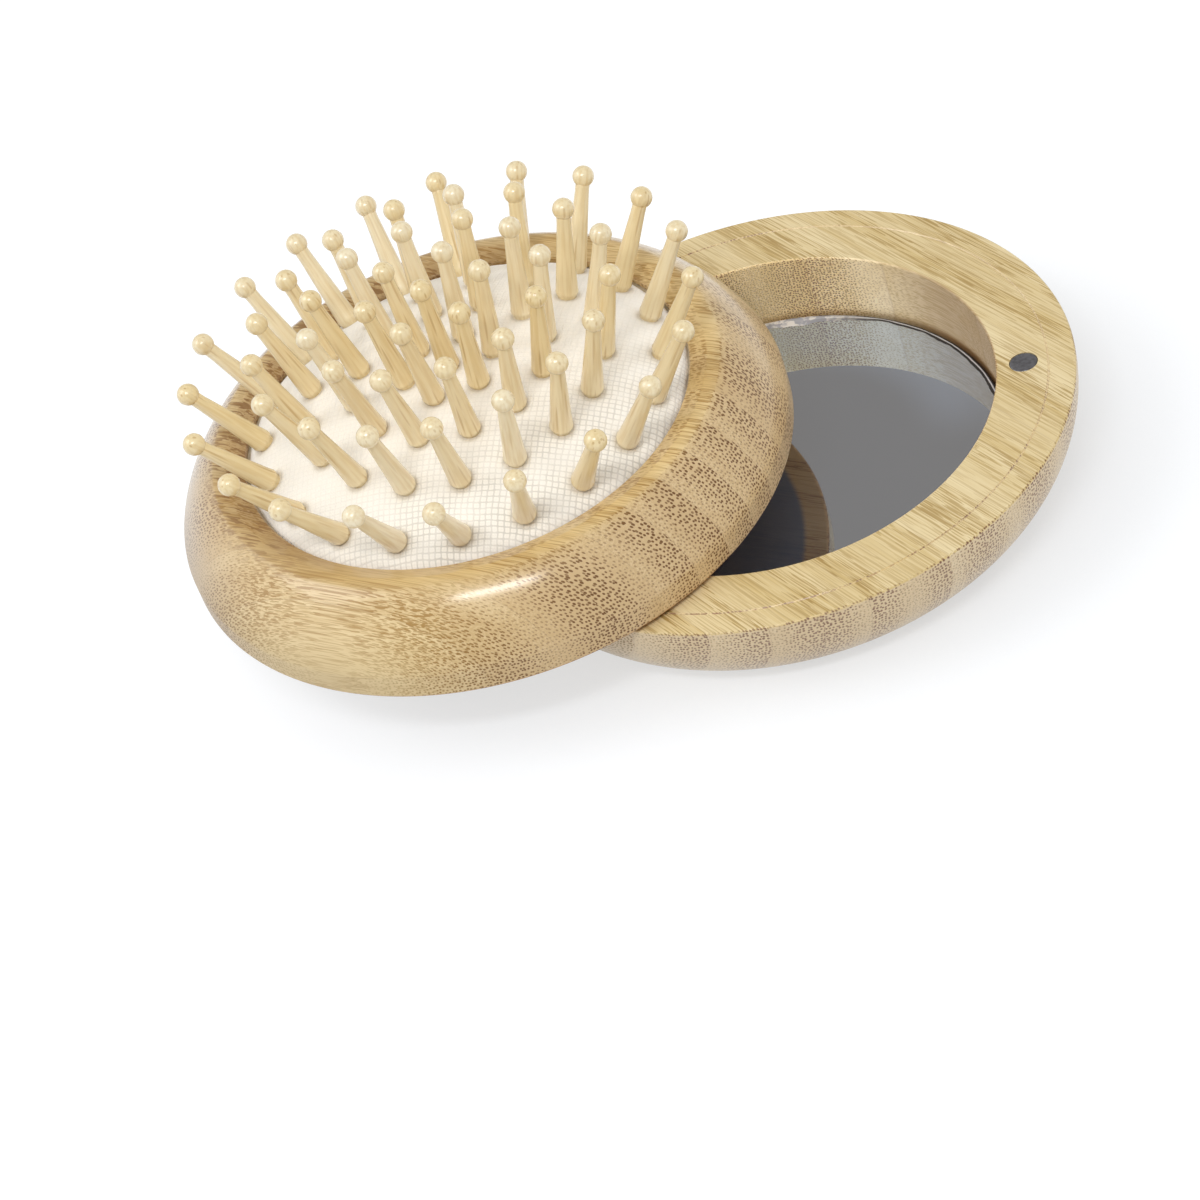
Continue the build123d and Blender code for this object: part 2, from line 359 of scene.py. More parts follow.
def make_bamboo():
    """Upright bamboo strips glued side by side, as a solid pattern in millimetres.

    Place is (across the strips, along the grain, up). Fibre bundles are long wandering rods along
    the grain: discs round the points of a cell pattern in the across-up plane, dense at one edge of
    each strip and sparse at the other. Cut across they show as dark pores, cut along as golden
    streaks and dashes.
    """
    tree, given, out = new_group(
        "laminated_bamboo",
        [
            ("Place", "Vector", None),
            ("Along Grain", "Float", 0.0),
            ("Strip Width", "Float", strip_width),
            ("Seed", "Float", 0.0),
            ("Pore Scale", "Float", pore_scale),
            ("Pale", "Color", (0.7, 0.55, 0.3, 1)),
            ("Deep", "Color", (0.55, 0.38, 0.16, 1)),
            ("Streak", "Color", (0.4, 0.25, 0.08, 1)),
            ("Pore", "Color", (0.22, 0.11, 0.04, 1)),
        ],
        [("Colour", "Color"), ("Fibre", "Float"), ("Roughness", "Float"), ("Height", "Float")],
    )
    place = given["Place"]
    across, along, up = parts("XYZ", place)
    across_cut = step(given["Along Grain"], 0.2, 0.65)

    # each strip draws its own tone, tilt and place in the stem, and may be turned round
    strips = plus(calc("DIVIDE", across, given["Strip Width"]), given["Seed"])
    strip = calc("FLOOR", strips)
    side = calc("FRACT", strips)
    drawn = node(tree, "TexWhiteNoise", {"W": strip}, noise_dimensions="1D").outputs["Color"]
    chance = parts("Color", drawn)
    turned_round = above(chance[2], 0.72)
    sparse = calc("ABSOLUTE", calc("SUBTRACT", turned_round, side))
    dense = step(sparse, 0.4, 1.0, 1.0, 0.5)

    # rods: cells in the across-up plane, spread evenly round the disc's side, that wander on their way
    drift = level(times(along, 0.05), times(strip, 7.3))
    drifting = node(tree, "TexNoise", {"Vector": drift, "Scale": 1.0, "Detail": 1.0}, noise_dimensions="2D")
    wander = parts("Color", drifting.outputs["Color"])
    tilt = times(calc("SUBTRACT", chance[1], 0.5), 0.08)
    lift = scaled(along, tilt, times(calc("SUBTRACT", wander[0], 0.5), 0.8))
    round_side = calc("ARCSINE", times(across, 0.99 / lid_radius))
    rod_across = scaled(round_side, lid_radius, times(wander[1], 0.6))
    rod_up = plus(up, lift, times(chance[0], 53.0))
    values = {"Vector": level(rod_across, rod_up), "Scale": given["Pore Scale"], "Randomness": 0.65}
    rods = node(tree, "TexVoronoi", values, voronoi_dimensions="2D").outputs
    own = parts("Color", rods["Color"])
    size = scaled(own[0], 0.08, scaled(across_cut, 0.03, 0.275))
    edge = calc("SUBTRACT", rods["Distance"], scaled(sparse, -0.10, size))
    rod = times(step(edge, -0.07, 0.07, 1.0, 0.0), step(given["Along Grain"], 0.06, 0.4, 0.45, 1.0))
    strength = times(rod, dense, scaled(own[1], 0.45, 0.8))

    # tone: fibres and threads where the face runs along the grain, pith where it cuts across
    fibre = noise(place, (3.4, 0.10, 3.4), 5.0, 0.65)
    pith = noise(place, 4.2, 3.0, 0.7)
    broad = noise(place, (0.42, 0.018, 0.2), 2.0)
    thread = noise(place, (8.5, 0.10, 8.5), 2.0)
    fibres = times(step(fibre, 0.36, 0.66), 0.35)
    lengthwise = plus(fibres, times(step(thread, 0.51, 0.62), 0.3))
    lengthwise = times(lengthwise, scaled(across_cut, -0.8, 1.0), step(sparse, 0.15, 0.9, 1.2, 0.5))
    tone = plus(lengthwise, times(step(broad, 0.35, 0.7), 0.25))
    tone = scaled(calc("SUBTRACT", chance[1], 0.25), 0.55, tone)
    cut_tone = scaled(step(pith, 0.42, 0.58), 0.8, scaled(dense, 0.35, 0.05))
    tone = scaled(across_cut, cut_tone, tone)

    # dashes: the open ends of bundles that come up at a shallow angle
    dash = step(noise(place, (4.4, 0.13, 4.4), 1.0), 0.545, 0.565)
    dash = times(dash, step(sparse, 0.25, 0.8, 1.0, 0.45), step(across_cut, 0.0, 0.5, 1.0, 0.0))
    dash = times(dash, scaled(chance[0], 0.35, 0.65))

    ground = mix(dash, mix(tone, given["Pale"], given["Deep"]), given["Streak"])
    mark = mix(across_cut, given["Streak"], given["Pore"])
    marked = mix(calc("MINIMUM", times(strength, 0.95), 1.0), ground, mark)
    to_joint = calc("MINIMUM", side, calc("SUBTRACT", 1.0, side))
    glue = step(to_joint, 0.004, 0.016, 1.0, 0.0)
    raised = scaled(strength, scaled(across_cut, -0.7, -0.2), times(fibre, 0.35))
    feed(out, {
        "Colour": mix(times(glue, 0.14), marked, given["Pore"]),
        "Fibre": strength,
        "Roughness": scaled(strength, 0.05, scaled(fibre, 0.08, 0.36)),
        "Height": calc("SUBTRACT", raised, times(glue, 0.2)),
    })
    return tree


bamboo = make_bamboo()


def grain_place(tree, centre, grain_angle):
    """Places in millimetres from a half's centre, and how far its face looks along the grain.

    A place is (across, along, up): the world turned back by the grain's bearing less 90 degrees.
    The second value is the size of the face's normal's share along the grain, from 0 to 1.
    """
    coordinates = node(tree, "TexCoord").outputs
    values = {
        "Vector": coordinates["Object"],
        "Location": [c * 0.001 for c in centre],
        "Rotation": (0, 0, np.radians(grain_angle - 90)),
        "Scale": (0.001, 0.001, 0.001),
    }
    place = node(tree, "Mapping", values, vector_type="TEXTURE").outputs[0]
    grain = (np.cos(np.radians(grain_angle)), np.sin(np.radians(grain_angle)), 0)
    return place, calc("ABSOLUTE", vector("DOT_PRODUCT", coordinates["Normal"], grain))


def grain_heading(bearing, grain_angle):
    """The level direction of a bearing, turned as grain_place turns it."""
    angle = np.radians(bearing + 90 - grain_angle)
    return (np.cos(angle), np.sin(angle), 0.0)


def from_axis(place):
    """A place's height, its level part, and its distance from the upright axis."""
    x, y, height = parts("XYZ", place)
    flat = level(x, y)
    return height, flat, vector("LENGTH", flat)


def towards(flat, heading):
    """How far round a level place lies towards a heading: 1 on it and -1 opposite."""
    return vector("DOT_PRODUCT", vector("NORMALIZE", flat), heading)


def lid_finish():
    """Varnished bamboo, yellow on top, and paler and pinker round the side with painted light.

    The well wall has less varnish, and painted light lightens and blues it; painted shade darkens
    it at its foot and towards one side. The fine line is burnt brown in spots, and clean and pale on
    the side where the well is darker.
    """
    material, tree, shader = new_material("lid_bamboo_finish")
    place, along = grain_place(tree, (0, 0, 0), lid_grain_angle)
    height, flat, radius = from_axis(place)
    right = towards(flat, grain_heading(lid_well_shade_bearing, lid_grain_angle))
    in_well = below(radius, well_radius + 0.2)
    pores = scaled(in_well, 1.0, pore_scale)
    values = {"Place": place, "Along Grain": along, "Seed": 0.3, "Pore Scale": pores}
    wood = place_group(bamboo, {**values, **lid_colours})

    under_edge = step(height, lid_height - 0.35, lid_height - 0.1, 1.0, 0.0)
    side = times(step(radius, lid_radius - 1.2, lid_radius - 0.2), under_edge)
    outer = times(above(radius, well_radius + 1), below(height, lid_height - 0.4))
    side = calc("MAXIMUM", side, outer)
    # painted light: the side is made paler and pinker
    side_light = times(side, scaled(wood["Fibre"], -0.22, 0.27))
    lightened = mix(side_light, wood["Colour"], side_light_colour)
    # painted light: the well wall is lightened and blued
    lightened = mix(in_well, lightened, well_light_tint, "MULTIPLY")

    # painted shade: darker at the foot of the well wall, and towards one side of it
    at_foot = step(height, 3.4, 4.6, 0.4, 0.0)
    well_shade_side = times(in_well, step(right, -0.2, 1.0, 0.6, 1.0))
    well_shaded = mix(times(well_shade_side, plus(at_foot, step(right, 0.72, 1.0, 0.0, 0.55))), lightened, well_shade_colour)

    off_line = calc("ABSOLUTE", calc("SUBTRACT", radius, line_radius))
    on_line = times(step(off_line, 0.06, 0.17, 1.0, 0.0), step(height, 12, 13))
    clean = times(on_line, step(right, 0.0, 0.6, 0.05, 0.26))
    spots = step(noise(place, 1.3, 3.0), 0.47, 0.56)
    burnt = times(on_line, spots, step(right, -0.4, 0.75, 1.0, 0.15), 0.75)
    lined = mix(burnt, mix(clean, well_shaded, line_pale), line_burnt)
    feed(shader, {
        "Base Color": lined,
        "Roughness": scaled(in_well, 0.3, wood["Roughness"]),
        "Normal": bump(wood["Height"], 0.15, 0.0001),
        "Coat Weight": scaled(in_well, -0.4, 0.4),
        "Coat Roughness": 0.2,
    })
    return material


finish_with(lid, lid_finish())
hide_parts("lid_shell")
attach(lid, "lid")

# ---------------------------------------- mirror
# A round glass mirror, silvered behind, lying on a square pad of double-sided tape at the bottom
# of the well. Its upper edge is ground by hand, so the bevel is bright, uneven and a little
# chipped, and its polished part has a painted dark reflection with a painted glint line.
glass_radius = 31.35
glass_back = 1.95
glass_face = 3.45
glass_bevel = 0.35
bevel_drop = 0.08
chip_waves = 26
chipped_bearing = 118
chipped_heading = (-0.469, 0.883, 0.0)
dusty_heading = (0.2, 0.98, 0.0)
silver_colour = (0.58, 0.70, 0.92, 1)
# painted dark reflection and painted glint on the bevel's polished part
bevel_painted_dark = (0.03, 0.03, 0.035, 1)
bevel_painted_glint = (0.62, 0.63, 0.66, 1)
chip_grey = (0.50, 0.53, 0.62, 1)
chip_white = (1.0, 1.0, 1.0, 1)
chip_dark = (0.16, 0.16, 0.18, 1)
tape_colour = (0.72, 0.70, 0.64)


def make_mirror(sides=720):
    """A disc whose bevel's inner edge wanders with separate nicks.

    Its radius is glass_radius - bevel * (0.75 + 0.45 nick), where nick is a sum of sines of many
    frequencies, cut off below, and heavier round one bearing. The edge drops with the nick too.
    """
    angle = np.linspace(0, 2 * np.pi, sides, endpoint=False)
    rng = np.random.default_rng(7)
    waves = rng.integers(9, 170, chip_waves)
    phases = rng.uniform(0, 6.28, chip_waves)
    chips = (np.sin(np.outer(angle, waves) + phases) / chip_waves**0.5).sum(axis=1)
    heavier = 0.35 + 0.65 * np.exp(-((np.degrees(angle) - chipped_bearing) / 30) ** 2)
    nick = np.clip(chips, -0.2, 1.6) * heavier
    bevel = glass_bevel * (0.75 + 0.45 * nick)
    drop = bevel_drop * (1 + 0.5 * nick)
    full = np.full(sides, glass_radius)
    radii = np.stack([full, full - 0.03 * nick, glass_radius - bevel, glass_radius - bevel - 0.05])
    face = np.full(sides, glass_face)
    heights = np.stack([np.full(sides, glass_back), glass_face - drop, face, face])
    points = np.stack([radii * np.cos(angle), radii * np.sin(angle), heights], axis=-1).reshape(-1, 3)
    points = np.concatenate([points, [[0, 0, glass_back], [0, 0, glass_face]]]) * 0.001
    return mesh_piece("mirror_ground", points, closed_skin(4, sides), sharp=10.0)


def mirror_finish():
    """Silvered glass with a faint haze, a little dust at its far part, and a frosted bevel.

    The bevel's polished part is a painted dark reflection with a painted glint line in it.
    """
    material, tree, shader = new_material("mirror_finish")
    place = node(tree, "TexCoord").outputs["Object"]
    flat, radius = from_axis(place)[1:]
    haze = noise(place, 90.0, 5.0)
    grit = noise(place, 700.0, 3.0)
    uneven = noise(place, 260.0, 3.0)

    # the rim reaches in by about 0.8 mm from the edge, and by 1.8 mm where the bevel is chipped
    worn = step(towards(flat, chipped_heading), 0.45, 0.85)
    reach = times(scaled(worn, 0.0010, 0.0008), scaled(uneven, 1.0, 0.5))
    inward = calc("DIVIDE", calc("SUBTRACT", glass_radius * 0.001, radius), reach)
    rim = below(inward, 1.0)
    # painted dark reflection with a painted glint line along the polished bevel
    off_glint = calc("ABSOLUTE", calc("SUBTRACT", inward, 0.42))
    painted_bevel = mix(step(off_glint, 0.07, 0.16, 1.0, 0.0), bevel_painted_dark, bevel_painted_glint)
    chipped = mix(step(grit, 0.44, 0.56), chip_grey, chip_white)
    chipped = mix(step(uneven, 0.30, 0.40, 0.6, 0.0), chipped, chip_dark)
    edge = mix(worn, painted_bevel, chipped)

    far = step(towards(flat, dusty_heading), 0.0, 0.5)
    dusty = times(step(radius, 0.018, 0.026, 0.0, 0.14), far)
    silvered = calc("SUBTRACT", 0.97, dusty)
    feed(shader, {
        "Base Color": mix(rim, silver_colour, edge),
        "Roughness": scaled(rim, 0.3, scaled(haze, 0.03, 0.012)),
        "Metallic": times(silvered, calc("SUBTRACT", 1.0, times(rim, 0.9))),
    })
    return material


mirror = make_mirror()
finish_with(mirror, mirror_finish())
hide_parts("mirror_glass")
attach(mirror, "lid")


def plain_finish(name, colour, roughness, metallic=0.0, wear=0.25, scale=900.0):
    """A small part's finish: one colour with fine mottling and rubbed, slightly rougher patches."""
    material, tree, shader = new_material(name)
    mottle = noise(node(tree, "TexCoord").outputs["Object"], scale, 4.0)
    darker = tuple(c * (1 - wear) for c in colour)
    feed(shader, {
        "Base Color": mix(step(mottle, 0.35, 0.7), (*colour, 1), (*darker, 1)),
        "Roughness": scaled(mottle, 0.2, roughness - 0.1),
        "Normal": bump(mottle, 0.15, 0.00005),
        "Metallic": metallic,
    })
    return material


finish_with(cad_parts["mirror_adhesive"], plain_finish("tape_finish", tape_colour, 0.8))

# ---------------------------------------- magnets
# Two nickel-plated disc magnets with rounded edges, one let in flush with the lid's rim and one in
# the brush's underside. They are glued in drilled holes and hold the closed halves together.
magnet_radius = 1.88
magnet_thickness = 2.0
magnet_edge = 0.15
magnet_colour = (0.21, 0.22, 0.25)


def magnet(name, at, body, faces_up):
    """A disc with rounded edges whose outer face lies at the half's face."""
    low, high = (-magnet_thickness, 0) if faces_up else (0, magnet_thickness)
    edges = [(magnet_radius, low, magnet_edge), (magnet_radius, high, magnet_edge)]
    outline = rounded_outline([(0, low, 0), *edges, (0, high, 0)], steps=4)
    face = at[2] + (magnet_thickness / 2 if faces_up else -magnet_thickness / 2)
    piece = turned(name, outline, (at[0], at[1], face), sides=64)
    finish_with(piece, magnet_plate)
    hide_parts(name)
    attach(piece, body)


magnet_plate = plain_finish("magnet_finish", magnet_colour, 0.42, metallic=0.7, wear=0.35, scale=1500.0)
brush_magnet_at = centre_of("brush_magnet")
magnet("lid_magnet", lid_magnet_at, "lid", True)
magnet("brush_magnet", brush_magnet_at, "brush", False)

# ---------------------------------------- pivot
# A steel pin glued in the lid runs in a nylon bush in the brush body, held by a split ring, with a
# thin washer between the halves. Only the washer's rim can be seen, deep in the gap.
steel_colour = (0.55, 0.56, 0.58)
nylon_colour = (0.72, 0.71, 0.66)
washer_colour = (0.03, 0.03, 0.035)
pivot_steel = plain_finish("pivot_steel_finish", steel_colour, 0.3, metallic=1.0)
for part in ("pivot_pin", "retaining_ring"):
    finish_with(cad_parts[part], pivot_steel)
finish_with(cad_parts["pivot_bush"], plain_finish("bush_finish", nylon_colour, 0.45))
finish_with(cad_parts["friction_washer"], plain_finish("washer_finish", washer_colour, 0.5))

# ---------------------------------------- brush body
# The upper half: a turned ring with a floor, of the same glued bamboo. A soft shoulder leads up to
# a narrow crest, and the rim falls from there to the mouth. Holes are drilled from below.
brush_radius = 42.5
brush_low = 14.2
brush_edge_round = 0.45
shoulder_foot = 3.4
shoulder_top = 12.7
shoulder_inner = 35.1
shoulder_power = 1.5
crest_radius = 33.6
crest_round = 1.2
mouth_radius = 30.95
mouth_height = 11.8
mouth_round = 0.3
groove_radius = 32.4
groove_top = 11.0
groove_floor = 8.6
chamber_radius = 29.5
chamber_floor = 3.5
brush_drill_start = 10
brush_magnet_hole = 2
bush_hole_radius = 2.78
bush_hole_depth = 6.8
ring_hole_radius = 1.55
ring_hole_low = 6.7
ring_hole_depth = 8.4
brush_grain_angle = -30.0
brush_left_bearing = 155
brush_colours = {
    "Pale": (0.775, 0.61, 0.34, 1),
    "Deep": (0.575, 0.395, 0.17, 1),
    "Streak": (0.38, 0.22, 0.06, 1),
    "Pore": (0.165, 0.075, 0.025, 1),
}
cut_beige = (0.58, 0.45, 0.335, 1)
# painted shade on the slope to the mouth
slope_shade_colour = (0.30, 0.17, 0.06, 1)
left_dash_brown = (0.24, 0.12, 0.04, 1)
# painted light on the crest
crest_light_tint = (1.07, 1.06, 0.96, 1)
# painted shade and a greyish painted reflection on the left
left_shade_and_sheen_colour = (0.56, 0.46, 0.355, 1)
# painted shade low on the side
low_side_shade_tint = (0.84, 0.83, 0.80, 1)
# painted shade under the half: darker and warmer, nearly black inside a plain border
underside_shade_tint = (0.78, 0.50, 0.24, 1)
underside_shade_colour = (0.105, 0.09, 0.08, 1)
brush_at = centre_of("brush_body")
brush_at[2] = brush_low

# the shoulder is a superellipse: (r, h) = inner + width cos(t)^p, foot + rise sin(t)^p
shoulder = [
    (
        shoulder_inner + (brush_radius - shoulder_inner) * np.cos(turn) ** shoulder_power,
        shoulder_foot + (shoulder_top - shoulder_foot) * np.sin(turn) ** shoulder_power,
        0,
    )
    for turn in np.radians(np.linspace(0, 86, 34))
]
brush_outline = rounded_outline([
    (0, 0, 0),
    (brush_radius, 0, brush_edge_round),
    *shoulder,
    (shoulder_inner - 0.6, shoulder_top, 0),
    (crest_radius, shoulder_top, crest_round),
    (mouth_radius, mouth_height, mouth_round),
    (mouth_radius, groove_top, 0),
    (groove_radius, groove_top, 0),
    (groove_radius, groove_floor, 0),
    (chamber_radius, groove_floor, 0),
    (chamber_radius, chamber_floor, 0),
    (0, chamber_floor, 0),
])
brush = turned("brush_turned", brush_outline, brush_at)
drill(brush, brush_magnet_at[:2], magnet_hole_radius, brush_drill_start, brush_low + brush_magnet_hole)
drill(brush, pivot_at[:2], bush_hole_radius, brush_drill_start, brush_low + bush_hole_depth)
drill(brush, pivot_at[:2], ring_hole_radius, brush_low + ring_hole_low, brush_low + ring_hole_depth)


def brush_finish():
    """Varnished bamboo, warmer than the lid, and beige where the grain is cut across.

    The slope to the mouth has painted shade, heavier on the left, and dark brown dashes on its left.
    Painted light brightens and warms the crest on the front and right; the left shoulder has painted
    shade and a greyish painted reflection. The side is dull and has painted shade low down, and
    painted shade darkens and warms the underside, nearly black within a plain border.
    """
    material, tree, shader = new_material("body_bamboo_finish")
    place, along = grain_place(tree, brush_at, brush_grain_angle)
    height, flat, radius = from_axis(place)
    left = towards(flat, grain_heading(brush_left_bearing, brush_grain_angle))
    past_mouth = above(radius, mouth_radius - 0.5)
    underside = below(height, 0.3)
    values = {"Place": place, "Along Grain": along, "Seed": 11.45}
    wood = place_group(bamboo, {**values, **brush_colours})

    cut_ground = times(step(along, 0.2, 0.65), scaled(wood["Fibre"], -0.26, 0.26))
    colour = mix(cut_ground, wood["Colour"], cut_beige)
    # painted shade on the slope to the mouth, heavier on the left
    slope_shade = times(step(radius, mouth_radius + 0.3, crest_radius + 3.5, 1.0, 0.0), past_mouth)
    slope_shade = times(slope_shade, step(left, -0.5, 0.5, 0.35, 1.1), 0.55)
    colour = mix(slope_shade, colour, slope_shade_colour)
    # dark brown dashes near the crest, on the left only
    left_dashes = step(noise(place, (1.9, 0.26, 1.9), 2.0), 0.53, 0.57)
    near_crest = step(radius, crest_radius - 0.5, crest_radius + 5.0, 0.85, 0.0)
    left_dashes = times(left_dashes, near_crest, step(left, 0.05, 0.7), past_mouth)
    colour = mix(left_dashes, colour, left_dash_brown)
    # painted light: the crest is brightened and warmed on the front and right
    inside_crest = step(radius, crest_radius, crest_radius + 2.5, 1.0, 0.0)
    crest_light = times(inside_crest, step(left, 0.0, 0.45, 1.0, 0.0))
    colour = mix(crest_light, colour, crest_light_tint, "MULTIPLY")

    # painted shade and a greyish painted reflection on the left shoulder and side
    left_shade_and_sheen = times(step(left, 0.45, 0.9, 0.0, 0.5), step(radius, crest_radius + 3, brush_radius))
    colour = mix(left_shade_and_sheen, colour, left_shade_and_sheen_colour)
    # painted shade low on the side, except on the left
    low_side_shade = step(radius, crest_radius + 4, brush_radius - 1.5)
    low_side_shade = times(step(height, 1.5, 11.0, 1.0, 0.0), low_side_shade, step(left, -0.55, 0.1, 0.1, 1.0))
    colour = mix(low_side_shade, colour, low_side_shade_tint, "MULTIPLY")
    # painted shade: the underside is darkened and warmed, and nearly black within a plain border
    colour = mix(underside, colour, underside_shade_tint, "MULTIPLY")
    underside_shade = times(underside, step(radius, 38.6, 39.6, 0.85, 0.0))
    feed(shader, {
        "Base Color": mix(underside_shade, colour, underside_shade_colour),
        "Roughness": wood["Roughness"],
        "Normal": bump(wood["Height"], 0.15, 0.0001),
        "Coat Weight": step(height, 2.0, 9.0, 0.15, 0.7),
        "Coat Roughness": 0.17,
        "Specular IOR Level": 0.35,
    })
    return material


finish_with(brush, brush_finish())
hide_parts("brush_body")
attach(brush, "brush")

# ---------------------------------------- cushion
# A rubber membrane with a bead at its edge, domed over the air chamber, under a coarse off-white
# cloth that is stretched over it, drawn in a little round each pin and tucked down inside the rim.
cover_radius = 30.65
cover_thickness = 0.45
dome_base = 11.55
dome_rise = 7.6
dome_power = 2.6
dimple_depth = 0.35
dimple_reach = 2.3
pin_edge = 1.45
pucker_height = 0.2
pucker_start = 27.5
pucker_span = 3.2
pucker_waves = (17, 29, 43, 61)
edge_dip = 0.75
dip_start = 29.3
dip_span = 1.35
membrane_thickness = 1.6
under_cloth = 0.5
cloth_clearance = 0.12
bead_play = 0.15
thread_pitch = 0.42
weave_turn = 12
uv_per_mm = 0.01
# the side where the painted shade in the weave's gaps is heaviest
gap_shade_heading = (0.64, -0.77, 0.0)
thread_pale = (0.95, 0.925, 0.87, 1)
thread_deep = (0.93, 0.89, 0.81, 1)
# painted shade in the crevices of the weave
gap_shade_colour = (0.50, 0.47, 0.42, 1)
# painted shade round the foot of each pin
pin_foot_shade_colour = (0.40, 0.33, 0.22, 1)
rubber_colour = (0.55, 0.47, 0.34)
# each ring of pins: how many, how far out, their lean and the first one's bearing
pin_rings = {
    "pin_centre": (1, 0.0, 0.0, 0.0),
    "pins_inner_row": (6, 6.2, 8.0, 10.0),
    "pins_third_row": (12, 13.33, 12.5, 10.0),
    "pins_second_row": (17, 20.47, 18.0, 17.0),
    "pins_outer_row": (20, 27.6, 33.0, -1.5),
}


def dome(radius):
    """Height of the cover over the body's base: base + rise (1 - (r / R)^power)."""
    return dome_base + dome_rise * (1 - np.clip(radius / cover_radius, 0, 1) ** dome_power)


def ring_angles(count, first):
    """The bearings of a ring's pins, evenly spaced, in radians."""
    return np.radians(first + 360 * np.arange(count) / count)


def pin_seats():
    """Where each pin comes through the cloth, in the plane, from the cushion's middle."""
    seats = []
    for count, out, lean, first in pin_rings.values():
        angle = ring_angles(count, first)
        seats.append(np.stack([out * np.cos(angle), out * np.sin(angle)], axis=-1))
    return np.concatenate(seats)


def point_values(piece, name, kind, values):
    """Stores a number or a vector for each point of a piece's mesh, under a name."""
    field = "vector" if kind == "FLOAT_VECTOR" else "value"
    attribute = piece.data.attributes.new(name, kind, "POINT")
    attribute.data.foreach_set(field, values.astype(np.float32).ravel())


def make_cover(rings=110, sides=300):
    """The cloth: a dome with a dimple round each pin and small puckers where it tucks in at the rim.

    Each dimple is a Gaussian of the distance to its pin's seat, and the puckers are a sum of sines
    of the angle that grows over pucker_span. The last bit dips by edge_dip, and past the dome's edge
    the surface turns straight down behind the rim's lip. Its UV is the cloth laid flat: a point's
    distance along the dome from the middle, at its own angle.
    """
    radius = cover_radius * (np.linspace(0, 1, rings) ** 0.8)[1:]
    angle = np.linspace(0, 2 * np.pi, sides, endpoint=False)
    r = np.repeat(radius[:, None], sides, axis=1)
    a = np.repeat(angle[None], len(radius), axis=0)
    rng = np.random.default_rng(3)
    pucker = sum(np.sin(k * a + rng.uniform(0, 6.28)) for k in pucker_waves) / len(pucker_waves)
    near_rim = np.clip((r - pucker_start) / pucker_span, 0, 1) ** 2
    x, y = r * np.cos(a), r * np.sin(a)
    away = np.hypot(x[..., None] - pin_seats()[:, 0], y[..., None] - pin_seats()[:, 1])
    dimple = (np.exp(-((away / dimple_reach) ** 2)) * dimple_depth).sum(axis=-1)
    # how much painted shade the cloth takes round the foot of each pin
    pin_foot_shade = np.exp(-(np.clip(away.min(axis=-1) - pin_edge, 0, None) ** 2) / 0.12)
    dip = edge_dip * np.clip((r - dip_start) / dip_span, 0, 1) ** 2
    z = dome(r) - dimple - dip + pucker_height * pucker * near_rim
    arc = np.concatenate([[0], np.cumsum(np.hypot(np.diff(radius), np.diff(dome(radius))))]) + radius[0]
    tuck = np.array([0.35, 0.9])
    r = np.concatenate([r, np.full((2, sides), cover_radius)])
    z = np.concatenate([z, z[-1:] - tuck[:, None]])
    a = np.concatenate([a, a[:2]])
    arc = np.concatenate([arc, arc[-1] + tuck])
    points = np.stack([r * np.cos(a), r * np.sin(a), z], axis=-1).reshape(-1, 3)
    points = (np.concatenate([points, [[0, 0, dome(0.0) - dimple_depth]]]) + brush_at) * 0.001
    quads = grid_faces(len(arc), sides)[:, [0, 3, 2, 1]]
    cloth = mesh_piece("cushion_cloth", points, [quads, fan(len(points) - 1, 0, sides)], sharp=80.0)
    flat = (arc[:, None, None] * np.stack([np.cos(a), np.sin(a)], axis=-1)).reshape(-1, 2)
    flat = np.concatenate([flat, [[0, 0]]])
    uv = cloth.data.uv_layers.new(name="flat_cloth")
    corner = np.zeros(len(cloth.data.loops), np.int32)
    cloth.data.loops.foreach_get("vertex_index", corner)
    uv.data.foreach_set("uv", (flat[corner] * uv_per_mm).astype(np.float32).ravel())
    point_values(cloth, "pin_foot_shade", "FLOAT", np.concatenate([pin_foot_shade.ravel(), np.zeros(2 * sides + 1)]))
    thick = cloth.modifiers.new("thickness", "SOLIDIFY")
    thick.thickness = cover_thickness * 0.001
    thick.offset = -1
    return cloth


def make_weave():
    """Plain weave as a group: two sets of threads pass over and under each other.

    Each thread is a half round across its width, and rises and falls along its length; the
    higher set at each crossing is the one that shows.
    """
    tree, given, out = new_group(
        "plain_weave",
        [("Place", "Vector", None), ("Pitch", "Float", 1.0)],
        [("Height", "Float"), ("Gap", "Float"), ("Mottle", "Float")],
    )
    place = given["Place"]
    bend = node(tree, "TexNoise", {"Vector": place, "Scale": 0.35, "Detail": 2.0}).outputs["Color"]
    shift = vector("SUBTRACT", bend, (0.5, 0.5, 0.5))
    bent = vector("MULTIPLY_ADD", shift, (0.45, 0.45, 0.0), place)
    cells = [calc("DIVIDE", part, given["Pitch"]) for part in parts("XYZ", bent)[:2]]
    index = [calc("FLOOR", cell) for cell in cells]
    middle = [calc("SUBTRACT", calc("FRACT", cell), 0.5) for cell in cells]
    checker = calc("MODULO", calc("ABSOLUTE", plus(*index)), 2.0)
    bulge = [calc("MAXIMUM", scaled(times(m, m), -4.6, 1.0), 0.0) for m in middle]
    thread = [calc("SQRT", b) for b in bulge]
    swell = [calc("COSINE", times(m, 3.14159)) for m in middle]
    over = times(checker, times(thread[0], swell[1]))
    under = times(calc("SUBTRACT", 1.0, checker), times(thread[1], swell[0]))
    pick = plus(over, under)
    feed(out, {
        "Height": scaled(noise(place, 9.0, 4.0), 0.25, pick),
        "Gap": step(pick, 0.15, 0.6, 1.0, 0.0),
        "Mottle": noise(place, 0.25, 3.0),
    })
    return tree


weave = make_weave()


